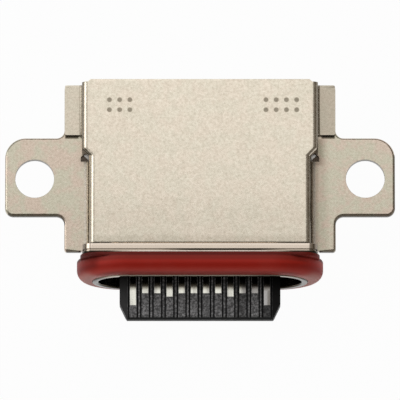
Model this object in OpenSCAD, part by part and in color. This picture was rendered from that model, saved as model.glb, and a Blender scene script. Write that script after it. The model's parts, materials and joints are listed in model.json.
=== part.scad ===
// Charging port: a reversible socket with a sealed mouth, held by two screw ears.
// Millimetres. +X runs along the screw line, +Y to the rear and +Z up.
// The origin is midway between the two screws, on the face that the ears seat on.
// The lower half of the socket sinks into a notch in the board that carries it.

/* [Plug opening] */
// Width of the opening that takes the plug
mouth_w = 8.34; // [8.2:0.01:8.6]
// Height of the opening that takes the plug
mouth_h = 2.56; // [2.4:0.01:2.8]
// Distance of the opening's rim ahead of the screw line
mouth_reach = 4.31; // [4:0.01:4.6]
// Bevel inside the opening's rim
mouth_bevel = 0.06; // [0.04:0.01:0.2]

/* [Front shell] */
// Wall of the nose that carries the seal
nose_wall = 0.25; // [0.22:0.01:0.4]
// Length of the nose ahead of the collar
nose_len = 0.91; // [0.75:0.01:1.1]
// Thickness of the collar
collar_t = 0.36; // [0.25:0.01:0.45]
// How far the collar stands out beyond the nose
collar_lip = 0.39; // [0.3:0.01:0.5]
// Corner radius of the collar
collar_r = 0.7; // [0.5:0.05:0.9]
// Rounding of the collar's rim
collar_edge = 0.05; // [0.03:0.01:0.15]
// Distance from the collar's front face to the groove in its rim
collar_land = 0.1; // [0.08:0.01:0.12]
// Width of the groove in the collar's rim
collar_groove_w = 0.07; // [0.04:0.01:0.08]
// Depth of the groove in the collar's rim
collar_groove_d = 0.05; // [0.03:0.01:0.08]
// Wall of the sleeve behind the collar
sleeve_wall = 0.16; // [0.12:0.01:0.24]
// Length of the sleeve behind the collar
sleeve_len = 3.7; // [3.4:0.05:4]

/* [Seal ring] */
// Thickness of the seal's back flange
seal_flange_t = 0.14; // [0.08:0.01:0.2]
// How far the back flange stands out beyond the collar
seal_flange_lip = 0.1; // [0.05:0.01:0.2]
// How far the sealing lip stands out beyond the nose
seal_rise = 0.64; // [0.5:0.01:0.8]
// Rounding of the sealing lip's front edge
seal_front_r = 0.28; // [0.1:0.02:0.3]
// Rounding of the sealing lip's back edge
seal_back_r = 0.1; // [0.04:0.02:0.2]
// Width of the bare metal rim ahead of the seal
rim_show = 0.04; // [0.02:0.01:0.2]

/* [Screw bracket] */
// Distance between the two screws
screw_spacing = 13.6; // [13:0.1:15]
// Diameter of the screw holes
screw_d = 1.6; // [1.2:0.1:1.8]
// Sheet thickness of the bracket
bracket_t = 0.3; // [0.2:0.01:0.4]
// Inner radius of the bracket's bends
bracket_bend = 0.03; // [0.02:0.01:0.2]
// Width of the rails beside the socket, bends included
rail_w = 1.01; // [0.9:0.01:1.2]
// How far ahead of the screw line the rails begin
rail_front = 3.06; // [2.8:0.01:3.1]
// How far behind the screw line the rails end
rail_rear = 3.88; // [3.6:0.01:4.2]
// Corner radius of the rails' ends
rail_r = 0.12; // [0.05:0.01:0.2]
// Distance from a screw to the end of its ear
ear_end = 1.22; // [1.1:0.01:1.6]
// Distance from the screw line to the ears' front edge
ear_front = 1.52; // [1.2:0.01:1.7]
// Distance from the screw line to the ears' rear edge
ear_rear = 1.71; // [1.3:0.01:1.8]
// Radius of the ears' rear corners
ear_rear_r = 0.85; // [0.3:0.05:1]
// Radius of the ears' front corners
ear_front_r = 0.35; // [0.1:0.05:1]
// Radius of the fillets between ears and rails
ear_fillet = 0.33; // [0.1:0.01:0.4]
// How far behind the screw line the trough under the socket ends
trough_rear = 0.72; // [0.5:0.01:0.9]
// Radius of the relief notches behind the trough's bends
relief_r = 0.15; // [0.1:0.01:0.3]

/* [Cover] */
// Sheet thickness of the cover
cover_t = 0.2; // [0.12:0.01:0.25]
// Inner radius of the cover's top bends
cover_bend = 0.04; // [0.02:0.01:0.1]
// Gap between the collar and the cover's front edge
cover_gap = 0.12; // [0.05:0.01:0.2]
// How far behind the screw line the cover ends
cover_rear = 3.9; // [3.6:0.01:4.3]
// Size of the corner cuts at the cover's rear
cover_cut = 0.2; // [0.1:0.01:0.25]
// How far the front skirts reach below the ears' seating face
skirt_drop = 0.9; // [0.5:0.05:1.1]
// How much wider the cover is on each side at the rear
jog_w = 0.3; // [0.2:0.01:0.4]
// Length over which the cover widens
jog_len = 0.3; // [0.28:0.01:0.5]
// How far behind the screw line the feet begin
foot_front = 1.79; // [1.6:0.01:2.2]
// Inner radius of the bends above the feet
foot_bend = 0.1; // [0.05:0.01:0.15]
// How far the feet stay inside the rails' edges
foot_inset = 0.02; // [0:0.01:0.1]

/* [Tongue] */
// Width of the tongue
tongue_w = 6.6; // [6.5:0.01:6.8]
// Thickness of the tongue
tongue_t = 0.7; // [0.6:0.01:0.8]
// Length of the tongue from its root to its tip
tongue_len = 4.45; // [4.2:0.01:4.7]
// How far the tongue stands out past the opening's rim
tongue_over = 1.57; // [1.2:0.01:1.8]
// Width of the corner cuts at the tip
tip_cut_w = 0.3; // [0.2:0.01:0.4]
// Length of the corner cuts at the tip
tip_cut_len = 0.63; // [0.3:0.01:0.8]
// Length of the bevels at the tip
tip_bevel = 0.14; // [0.05:0.01:0.2]
// Depth of the bevels at the tip
tip_bevel_d = 0.2; // [0.1:0.01:0.25]
// Length of the thick step at the tongue's root
step_len = 1.1; // [0.9:0.01:1.3]
// Thickness of the step at the tongue's root
step_t = 1.1; // [1:0.01:1.2]
// Distance from the tip to the latch notches
notch_setback = 2.3; // [2:0.05:2.5]
// Length of the latch notches
notch_len = 0.7; // [0.5:0.05:0.8]
// Depth of the latch notches
notch_d = 0.2; // [0.1:0.01:0.25]

/* [Contacts] */
// Distance between neighbouring contacts
pitch = 0.5; // [0.48:0.01:0.52]
// Width of a contact
contact_w = 0.25; // [0.2:0.01:0.28]
// Thickness of a contact
contact_t = 0.12; // [0.08:0.01:0.15]
// Radius of a contact's bends, along its middle
contact_bend = 0.14; // [0.1:0.01:0.16]
// Distance from the tip to the ground contacts
ground_setback = 0.57; // [0.4:0.01:0.7]
// Distance from the tip to the supply contacts
supply_setback = 0.93; // [0.75:0.01:1]
// Distance from the tip to the signal contacts
signal_setback = 1.07; // [1:0.01:1.4]
// How far behind the screw line the upper row's tails end
upper_tail_end = 3.7; // [3.5:0.05:3.9]
// How far behind the screw line the lower row's tails end
lower_tail_end = 2.1; // [1.9:0.05:2.4]
// Width of the moulded lane that holds a contact
lane_w = 0.3; // [0.29:0.01:0.32]
// Width of the grooves beside a lane
groove_w = 0.06; // [0.04:0.01:0.07]
// Depth of the grooves beside a lane
groove_d = 0.08; // [0.03:0.01:0.1]

/* [Inner parts] */
// Thickness of the plate between the contact rows
mid_plate_t = 0.12; // [0.08:0.01:0.16]
// Distance from the tip to the plate between the rows
mid_plate_setback = 0.7; // [0.65:0.05:1]
// Gap between the plate's soldering legs and the outermost contacts
leg_gap = 0.12; // [0.08:0.01:0.2]
// Sheet thickness of the ground plates
ground_plate_t = 0.1; // [0.08:0.01:0.12]
// Width of the ground plates
ground_plate_w = 6.1; // [5.5:0.05:6.4]
// How far the ground plates reach in behind the tongue's root
ground_plate_in = 0.5; // [0.4:0.05:0.8]
// Width of the sealant round the insulator's neck
sealant_w = 0.3; // [0.2:0.01:0.4]
// Length of the sealant in the sleeve
sealant_len = 0.5; // [0.3:0.05:0.8]
// Width of the insulator's rear block
block_w = 8; // [7.6:0.05:8.4]
// How far behind the screw line the rear block ends
block_rear = 2.7; // [2.5:0.05:2.9]

/* [Fits] */
// Clearance between pieces that slip together
fit = 0.02; // [0.01:0.01:0.04]

/* [Hidden] */
$fn = 64;
// Contacts in each row, as the plug needs them
contact_count = 12;
// Flat steps that make up each bend of a folded strip
bend_steps = 8;
// Overshoot of cutting tools past the faces that they cut
past = 0.5;
// Overlap between shapes that join into one piece
lap = 0.05;

// Stations along Y, from the front to the rear
mouth_y = -mouth_reach;
collar_y = mouth_y + nose_len;
sleeve_y = collar_y + collar_t;
sleeve_rear = sleeve_y + sleeve_len;
tip_y = mouth_y - tongue_over;
root_y = tip_y + tongue_len;
step_y = root_y - step_len;
neck_y = sleeve_rear - sealant_len;
block_y = sleeve_rear + fit;
trough_y = sleeve_y + fit;
cover_y = sleeve_y + cover_gap;
jog_end = trough_rear + jog_len;

// Half sizes across X and Z, from the opening outwards
nose_x = mouth_w / 2 + nose_wall;
nose_z = mouth_h / 2 + nose_wall;
collar_x = nose_x + collar_lip;
collar_z = nose_z + collar_lip;
flange_x = collar_x + seal_flange_lip;
flange_z = collar_z + seal_flange_lip;
sleeve_x = mouth_w / 2 + sleeve_wall;
sleeve_z = mouth_h / 2 + sleeve_wall;
cover_x = sleeve_x + fit + cover_t;
cover_top = sleeve_z + fit + cover_t;
wide_x = cover_x + jog_w;
trough_x = cover_x + fit;
trough_z = sleeve_z + fit;
rail_x = trough_x + rail_w;
flat_x = trough_x + bracket_bend + bracket_t;
screw_x = screw_spacing / 2;
ear_x = screw_x + ear_end;
foot_x = rail_x - foot_inset;
block_low = contact_t + fit;
block_top = sleeve_z;

// Middle heights of the folded strips
contact_z = (tongue_t - contact_t) / 2;
tail_z = contact_t / 2;
cover_mid_z = cover_top - cover_t / 2;
foot_z = bracket_t + cover_t / 2;

// Direction of a step from one point to the next
function heading(a, b) = (b - a) / norm(b - a);

// A vector turned to the left by an angle
function turned(v, angle) =
  [v.x * cos(angle) - v.y * sin(angle), v.x * sin(angle) + v.y * cos(angle)];

// Points of one side of a bend at p, where the strip turns from heading u to v.
// The bend's radius r is along the strip's middle, and side is 1 on its left and -1 on its right.
function bend_points(p, u, v, t, r, side) =
  let (
    way = sign(u.x * v.y - u.y * v.x),
    angle = acos(u * v),
    normal = turned(u, 90) * way,
    centre = p - u * r * tan(angle / 2) + normal * r,
    reach = r - way * side * t / 2
  )
  [for (i = [0:bend_steps]) centre - turned(normal, way * angle * i / bend_steps) * reach];

// Points of one side of a strip of thickness t along a path
function strip_side(path, t, r, side) =
  let (
    last = len(path) - 1,
    first_way = heading(path[0], path[1]),
    last_way = heading(path[last - 1], path[last])
  )
  concat(
    [path[0] + turned(first_way, 90) * side * t / 2],
    [for (i = [1:1:last - 1])
      each bend_points(path[i], heading(path[i - 1], path[i]), heading(path[i], path[i + 1]), t, r, side)],
    [path[last] + turned(last_way, 90) * side * t / 2]
  );

// Outline of a strip of thickness t, folded along a path
function strip(path, t, r) =
  let (right = strip_side(path, t, r, -1))
  concat(strip_side(path, t, r, 1), [for (i = [len(right) - 1:-1:0]) right[i]]);

// Extrudes a flat shape along Y, with its own x along X and its y along Z
module along_y(y0, y1) {
  translate([0, y1, 0])
    rotate([90, 0, 0])
      linear_extrude(y1 - y0)
        children();
}

// Extrudes a flat shape along X, centred on x, with its own x along Y and its y along Z
module along_x(x, w) {
  translate([x - w / 2, 0, 0])
    rotate([90, 0, 90])
      linear_extrude(w)
        children();
}

// Repeats its children on both sides of the middle plane
module both_sides() {
  children();
  mirror([1, 0, 0])
    children();
}

// Flat shape with half-round ends
module racetrack(half_w, half_h) {
  square([2 * (half_w - half_h), 2 * half_h], center = true);
  for (side = [-1, 1])
    translate([side * (half_w - half_h), 0])
      circle(half_h);
}

// Flat rectangle with rounded corners
module rounded_plate(half_w, half_h, r) {
  square([2 * (half_w - r), 2 * half_h], center = true);
  square([2 * half_w, 2 * (half_h - r)], center = true);
  for (x = [-1, 1], y = [-1, 1])
    translate([x * (half_w - r), y * (half_h - r)])
      circle(r);
}

// The sliver between a square corner at the origin and the arc that rounds it
module corner_sliver(r) {
  difference() {
    square(r);
    translate([r, r])
      circle(r);
  }
}

// Band from x0 to x1 and y0 to y1 whose corners at x1 are rounded by r0 and r1
module bead(x0, x1, y0, y1, r0, r1) {
  translate([x0, y0 + r0])
    square([x1 - x0, y1 - y0 - r0 - r1]);
  translate([x0, y0])
    square([x1 - r0 - x0, r0]);
  translate([x1 - r0, y0 + r0])
    circle(r0);
  translate([x0, y1 - r1])
    square([x1 - r1 - x0, r1]);
  translate([x1 - r1, y1 - r1])
    circle(r1);
}

// Sweeps a flat section round a rounded rectangle that stands across Y.
// The section's x is the distance from the corner's centre, and its y points to the front.
module sweep_round(half_w, half_h, r) {
  for (turn = [0:3])
    translate([(turn % 3 == 0 ? 1 : -1) * (half_w - r), 0, (turn < 2 ? 1 : -1) * (half_h - r)])
      rotate([0, -90 * turn, 0])
        rotate([90, 0, 0])
          rotate_extrude(angle = 90)
            children();
  for (end = [0, 180])
    rotate([0, end, 0]) {
      translate([0, 0, half_h - r])
        rotate([0, -90, 0])
          rotate([180, 0, 0])
            linear_extrude(2 * (half_w - r), center = true)
              children();
      if (half_h > r)
        translate([half_w - r, 0, 0])
          rotate([180, 0, 0])
            linear_extrude(2 * (half_h - r), center = true)
              children();
    }
}

// Outline of the cover's top edge folded down into a side that ends at low
function side_fold(from_x, outer_x, low, r) =
  let (wall_x = outer_x - cover_t / 2)
  strip([[from_x, cover_mid_z], [wall_x, cover_mid_z], [wall_x, low]], cover_t, r);

// Folded cover: a top plate, front skirts in the trough, and feet on the rails at the rear
module shield_cover() {
  top_r = cover_bend + cover_t / 2;
  foot_r = foot_bend + cover_t / 2;
  plate_x = cover_x - 2 * cover_t;
  rear_x = wide_x - cover_t - cover_bend;
  wall_rear = cover_rear - cover_cut;
  edge_low = bracket_t + fit;
  skew = atan(jog_w / jog_len);
  jog_fold = side_fold(plate_x - jog_w, cover_x, edge_low, top_r);
  color("lightgray") {
    along_y(cover_y, cover_rear)
      translate([-plate_x, cover_top - cover_t])
        square([2 * plate_x, cover_t]);
    both_sides() {
      translate([0, 0, cover_top - cover_t])
        linear_extrude(cover_t)
          polygon([[plate_x - lap, wall_rear - lap], [rear_x, wall_rear - lap], [rear_x, wall_rear],
                   [rear_x - cover_cut, cover_rear], [plate_x - lap, cover_rear]]);
      along_y(cover_y, trough_rear)
        polygon(side_fold(plate_x, cover_x, -skirt_drop, top_r));
      intersection() {
        translate([cover_x, trough_rear, 0])
          rotate([0, 0, -skew])
            translate([-cover_x * cos(skew), 0, 0])
              along_y(-jog_len, 2 * jog_len)
                polygon([for (p = jog_fold) [p.x * cos(skew), p.y]]);
        translate([0, trough_rear, -cover_top])
          cube([2 * wide_x, jog_len, 3 * cover_top]);
      }
      along_y(jog_end, wall_rear)
        polygon(side_fold(plate_x, wide_x, edge_low, top_r));
      along_y(foot_front, rail_rear)
        polygon(strip([[wide_x - cover_t / 2, foot_z + foot_r + lap],
                       [wide_x - cover_t / 2, foot_z],
                       [foot_x, foot_z]], cover_t, foot_r));
    }
  }
}

// One ear with its rail, as a flat blank
module ear_blank() {
  difference() {
    union() {
      translate([flat_x, -rail_front])
        square([rail_x - flat_x, rail_rear + rail_front]);
      translate([trough_x, trough_rear])
        square([rail_x - trough_x, rail_rear - trough_rear]);
      translate([flat_x, -ear_front])
        square([ear_x - flat_x, ear_front + ear_rear]);
      translate([rail_x, ear_rear])
        corner_sliver(ear_fillet);
      translate([rail_x, -ear_front])
        mirror([0, 1])
          corner_sliver(ear_fillet);
    }
    translate([ear_x, ear_rear])
      rotate(180)
        corner_sliver(ear_rear_r);
    translate([ear_x, -ear_front])
      rotate(90)
        corner_sliver(ear_front_r);
    translate([rail_x, -rail_front])
      rotate(90)
        corner_sliver(rail_r);
    translate([rail_x, rail_rear])
      rotate(180)
        corner_sliver(rail_r);
    translate([flat_x - relief_r, trough_rear + relief_r])
      circle(relief_r);
    translate([trough_x - past, trough_rear])
      square([flat_x - relief_r - trough_x + past, 2 * relief_r]);
  }
}

// Stamped bracket: two ears with screw holes, rails, and a trough bent down under the socket
module mounting_bracket() {
  wall_x = trough_x + bracket_t / 2;
  plate_z = bracket_t / 2;
  floor_z = -trough_z - bracket_t / 2;
  half_path = [[wall_x, floor_z], [wall_x, plate_z], [flat_x + lap, plate_z]];
  trough_path = concat([for (i = [2:-1:0]) [-half_path[i].x, half_path[i].y]], half_path);
  color("silver")
    difference() {
      union() {
        along_y(trough_y, trough_rear)
          polygon(strip(trough_path, bracket_t, bracket_bend + bracket_t / 2));
        both_sides()
          linear_extrude(bracket_t)
            ear_blank();
      }
      for (side = [-1, 1])
        translate([side * screw_x, 0, -past])
          cylinder(d = screw_d, h = bracket_t + 2 * past);
    }
}

// Drawn shell: the nose round the opening, the collar behind the seal, and the sleeve in the trough
module front_shell() {
  color("gainsboro")
    difference() {
      union() {
        along_y(mouth_y, collar_y + collar_t / 2)
          racetrack(nose_x, nose_z);
        along_y(collar_y, sleeve_rear)
          racetrack(sleeve_x, sleeve_z);
        sweep_round(collar_x, collar_z, collar_r)
          bead(0, collar_r, -sleeve_y, -collar_y, collar_edge, collar_edge);
        along_y(collar_y, sleeve_y)
          square([2 * (collar_x - collar_r), 2 * (collar_z - collar_r)], center = true);
      }
      along_y(mouth_y - past, sleeve_rear + past)
        racetrack(mouth_w / 2, mouth_h / 2);
      sweep_round(mouth_w / 2, mouth_h / 2, mouth_h / 2)
        polygon([[mouth_h / 2 - mouth_bevel, mouth_reach],
                 [mouth_h / 2, mouth_reach - mouth_bevel],
                 [mouth_h / 2 + mouth_bevel, mouth_reach]]);
      sweep_round(collar_x, collar_z, collar_r)
        translate([collar_r - collar_groove_d, -collar_y - collar_land - collar_groove_w])
          square([collar_groove_d + lap, collar_groove_w]);
    }
}

// Silicone seal: a flat back flange and a round lip that hugs the nose
module seal_ring() {
  lip_front = mouth_reach - rim_show;
  color("firebrick")
    difference() {
      union() {
        along_y(collar_y - seal_flange_t, collar_y)
          rounded_plate(flange_x, flange_z, collar_r + seal_flange_lip);
        sweep_round(nose_x, nose_z, nose_z)
          bead(nose_z - fit, nose_z + seal_rise, -collar_y, lip_front, seal_back_r, seal_front_r);
      }
      along_y(mouth_y, collar_y + past)
        racetrack(nose_x + fit, nose_z + fit);
    }
}

// Place of a contact across the tongue, counted from the left
function contact_x(i) = (i - (contact_count + 1) / 2) * pitch;

// Flat section of the tongue across Y, with a groove on each side of every lane
module tongue_section() {
  top = [for (i = [1:contact_count], side = [-1, 1])
    let (
      x = contact_x(i) + side * (lane_w + groove_w) / 2,
      g = groove_w / 2
    )
    each [[x - g, tongue_t / 2], [x - g, tongue_t / 2 - groove_d],
          [x + g, tongue_t / 2 - groove_d], [x + g, tongue_t / 2]]];
  bottom = [for (i = [len(top) - 1:-1:0]) [top[i].x, -top[i].y]];
  polygon(concat([[-tongue_w / 2, tongue_t / 2]], top, [[tongue_w / 2, tongue_t / 2]],
                 [[tongue_w / 2, -tongue_t / 2]], bottom, [[-tongue_w / 2, -tongue_t / 2]]));
}

// Plan of the tongue or of the plate in it: cut corners in front and a latch notch on each side
module tongue_plan(front, half_w, rear) {
  notch_y = tip_y + notch_setback;
  right = [
    [half_w - tip_cut_w, front],
    [half_w, front + tip_cut_len],
    [half_w, notch_y],
    [half_w - notch_d, notch_y],
    [half_w - notch_d, notch_y + notch_len],
    [half_w, notch_y + notch_len],
    [half_w, rear]
  ];
  polygon(concat(right, [for (i = [len(right) - 1:-1:0]) [-right[i].x, right[i].y]]));
}

// Side view of the tongue, with both edges of its tip bevelled
module tongue_side() {
  z = tongue_t / 2;
  polygon([
    [tip_y + tip_bevel, z], [tip_y, z - tip_bevel_d],
    [tip_y, -z + tip_bevel_d], [tip_y + tip_bevel, -z],
    [root_y + past, -z], [root_y + past, z]
  ]);
}

// The moulding before its inserts are taken out: tongue, step, base, neck and rear block
module insulator_blank() {
  intersection() {
    along_y(tip_y, root_y + past)
      tongue_section();
    translate([0, 0, -tongue_t])
      linear_extrude(2 * tongue_t)
        tongue_plan(tip_y, tongue_w / 2, root_y + past);
    along_x(0, 2 * tongue_w)
      tongue_side();
  }
  along_y(step_y, root_y + past)
    square([tongue_w, step_t], center = true);
  along_y(root_y, neck_y)
    racetrack(mouth_w / 2 - fit, mouth_h / 2 - fit);
  along_y(neck_y - past, block_y)
    racetrack(mouth_w / 2 - sealant_w, mouth_h / 2 - sealant_w);
  translate([-block_w / 2, block_y, block_low])
    cube([block_w, block_rear - block_y, block_top - block_low]);
}

// Moulded insulator with room for every insert
module insulator() {
  color("dimgray")
    difference() {
      insulator_blank();
      mid_plate();
      ground_plate_upper();
      ground_plate_lower();
      for (i = [1:contact_count]) {
        contact_a(i);
        contact_b(i);
      }
    }
}

// Steel plate between the contact rows, with two soldering legs behind
module mid_plate() {
  leg_in = contact_x(contact_count) + contact_w / 2 + leg_gap;
  leg_w = tongue_w / 2 - leg_in;
  leg_x = leg_in + leg_w / 2;
  leg_end = tail_z - (contact_t - mid_plate_t) / 2;
  color("darkgray") {
    translate([0, 0, -mid_plate_t / 2])
      linear_extrude(mid_plate_t)
        tongue_plan(tip_y + mid_plate_setback, tongue_w / 2, neck_y);
    for (side = [-1, 1])
      along_x(side * leg_x, leg_w)
        polygon(strip([[neck_y - past, 0], [block_y, 0], [block_y + 2 * contact_bend, leg_end],
                       [lower_tail_end, leg_end]], mid_plate_t, contact_bend));
  }
}

// Ground plate on top of the step: hooked over its front and turned up inside the base
module ground_plate_upper() {
  z = (step_t + ground_plate_t) / 2;
  front = step_y - ground_plate_t / 2;
  rear = root_y + ground_plate_in;
  color("gainsboro")
    along_x(0, ground_plate_w)
      polygon(strip([[front, tongue_t / 2 + fit], [front, z], [rear, z], [rear, mouth_h / 2 - 2 * fit]],
                    ground_plate_t, ground_plate_t));
}

// Ground plate under the step
module ground_plate_lower() {
  mirror([0, 0, 1])
    ground_plate_upper();
}

// Resin ring that seals the insulator's neck in the sleeve
module rear_sealant() {
  color("darkslategray")
    along_y(neck_y, sleeve_rear)
      difference() {
        racetrack(mouth_w / 2 - fit, mouth_h / 2 - fit);
        racetrack(mouth_w / 2 - sealant_w + fit, mouth_h / 2 - sealant_w + fit);
      }
}

// Distance from the tongue's tip to a contact's front end: ground outermost, then supply
function contact_setback(i) =
  let (from_edge = min(i, contact_count + 1 - i))
  from_edge == 1 ? ground_setback : from_edge == 4 ? supply_setback : signal_setback;

// Upper contact: flat on the tongue, through the base, and down to its tail behind the block
module contact_a(i) {
  drop = contact_z - tail_z;
  color("goldenrod")
    along_x(contact_x(i), contact_w)
      polygon(strip([[tip_y + contact_setback(i), contact_z], [block_rear + contact_bend, contact_z],
                     [block_rear + contact_bend + drop, tail_z], [upper_tail_end, tail_z]],
                    contact_t, contact_bend));
}

// Lower contact: flat under the tongue, through the base, and up to its tail under the block
module contact_b(i) {
  climb = contact_z + tail_z;
  color("goldenrod")
    along_x(contact_x(contact_count + 1 - i), contact_w)
      polygon(strip([[tip_y + contact_setback(i), -contact_z], [block_y + contact_bend, -contact_z],
                     [block_y + contact_bend + climb, tail_z], [lower_tail_end, tail_z]],
                    contact_t, contact_bend));
}

shield_cover();
mounting_bracket();
front_shell();
seal_ring();
insulator();
mid_plate();
ground_plate_upper();
ground_plate_lower();
rear_sealant();
for (i = [1:contact_count]) {
  contact_a(i);
  contact_b(i);
}
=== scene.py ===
"""Looks of a sealed charging port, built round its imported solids.

Pieces are modelled in millimetres on the bench and then settled into the frame, which is in metres.
+X runs along the screw line, +Y to the rear and +Z up.
"""
import json
import logging
import math
from contextlib import contextmanager
from dataclasses import dataclass, field
from enum import Enum
from functools import reduce
from operator import mul
from typing import Any, Callable, Iterator

import bmesh
import bpy
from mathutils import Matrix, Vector


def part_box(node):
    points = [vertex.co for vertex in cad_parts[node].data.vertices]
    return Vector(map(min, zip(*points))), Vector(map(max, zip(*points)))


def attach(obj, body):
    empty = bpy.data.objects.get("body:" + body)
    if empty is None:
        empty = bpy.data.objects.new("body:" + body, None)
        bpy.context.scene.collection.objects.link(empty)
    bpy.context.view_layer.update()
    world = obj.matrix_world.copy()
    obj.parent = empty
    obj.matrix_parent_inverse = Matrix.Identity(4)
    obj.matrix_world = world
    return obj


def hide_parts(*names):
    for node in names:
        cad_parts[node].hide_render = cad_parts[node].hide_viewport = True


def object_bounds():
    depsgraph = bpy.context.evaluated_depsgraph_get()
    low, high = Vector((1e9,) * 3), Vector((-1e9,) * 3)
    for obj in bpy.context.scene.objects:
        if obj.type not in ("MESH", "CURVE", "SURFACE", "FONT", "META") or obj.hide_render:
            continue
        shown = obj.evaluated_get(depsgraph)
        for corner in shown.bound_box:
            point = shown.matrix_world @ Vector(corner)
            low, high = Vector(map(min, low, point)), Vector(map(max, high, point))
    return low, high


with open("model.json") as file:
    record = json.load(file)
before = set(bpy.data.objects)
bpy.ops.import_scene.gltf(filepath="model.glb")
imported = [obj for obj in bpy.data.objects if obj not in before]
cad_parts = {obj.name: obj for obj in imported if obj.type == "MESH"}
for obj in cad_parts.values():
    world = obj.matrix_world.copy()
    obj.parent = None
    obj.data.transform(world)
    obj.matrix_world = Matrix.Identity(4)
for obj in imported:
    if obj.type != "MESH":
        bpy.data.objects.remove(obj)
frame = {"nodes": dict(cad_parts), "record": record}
CAD_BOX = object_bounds()

LOG = logging.getLogger("charging_port")
MM = 0.001
BODY = "root"
# Distances in millimetres: places that count as one, points that merge, and a step past a corner
TOUCH = 1e-3
MERGE = TOUCH / 10
STEP = TOUCH * 3
# Angles in degrees: edges that are sharp, that lie flat, and that are shaded smooth
SHARP = 50
FLAT = 0.2
SMOOTH = 35
# How much faster green and blue fall in a shade than red, which makes dark places warm
WARMTH = (0.06, 0.16)
Triple = tuple[float, float, float]
Colour = Triple
Edge = bmesh.types.BMEdge
EdgeTest = Callable[[Edge], bool]
VertTest = Callable[[bmesh.types.BMVert], bool]


class Pick(Enum):
    """What is picked while a mesh is open for editing."""

    VERT = "VERT"
    EDGE = "EDGE"


class Join(Enum):
    """How one workpiece acts on another."""

    FUSE = "UNION"
    CUT = "DIFFERENCE"


class Mix(Enum):
    """How one colour acts on another."""

    OVER = "MIX"
    TIMES = "MULTIPLY"


class Side(Enum):
    """Side of the middle plane, as the sign of X."""

    LEFT = -1.0
    BOTH = 0.0
    RIGHT = 1.0


@dataclass(frozen=True)
class Extent:
    """Box round a node, in millimetres."""

    low: Vector
    high: Vector

    @classmethod
    def of(cls, node: str) -> "Extent":
        """Reads a node's box at rest from the frame."""
        low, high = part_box(node)
        return cls(Vector(low) / MM, Vector(high) / MM)


def near(a: float, b: float) -> bool:
    """Tells whether two places on the bench are the same."""
    return abs(a - b) < TOUCH


def clear_bench() -> None:
    """Leaves edit mode and deselects everything."""
    if bpy.context.mode != "OBJECT":
        bpy.ops.object.mode_set(mode="OBJECT")
    bpy.ops.object.select_all(action="DESELECT")


def along(axis: int) -> EdgeTest:
    """Makes a test for edges that run along an axis, which is given by its index."""
    others = [i for i in range(3) if i != axis]
    return lambda edge: all(near(edge.verts[0].co[i], edge.verts[1].co[i]) for i in others)


def sits_at(**places: float) -> EdgeTest:
    """Makes a test for edges with both ends at these places; ax is the distance from the middle plane."""
    return lambda edge: all(near(abs(v.co.x) if key == "ax" else getattr(v.co, key), value)
                            for v in edge.verts for key, value in places.items())


def all_of(*tests: EdgeTest) -> EdgeTest:
    """Joins tests, all of which have to pass."""
    return lambda edge: all(test(edge) for test in tests)


def sharp(edge: Edge) -> bool:
    """Tells whether two faces meet at a sharp edge."""
    return edge.is_manifold and edge.calc_face_angle() > math.radians(SHARP)


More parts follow.
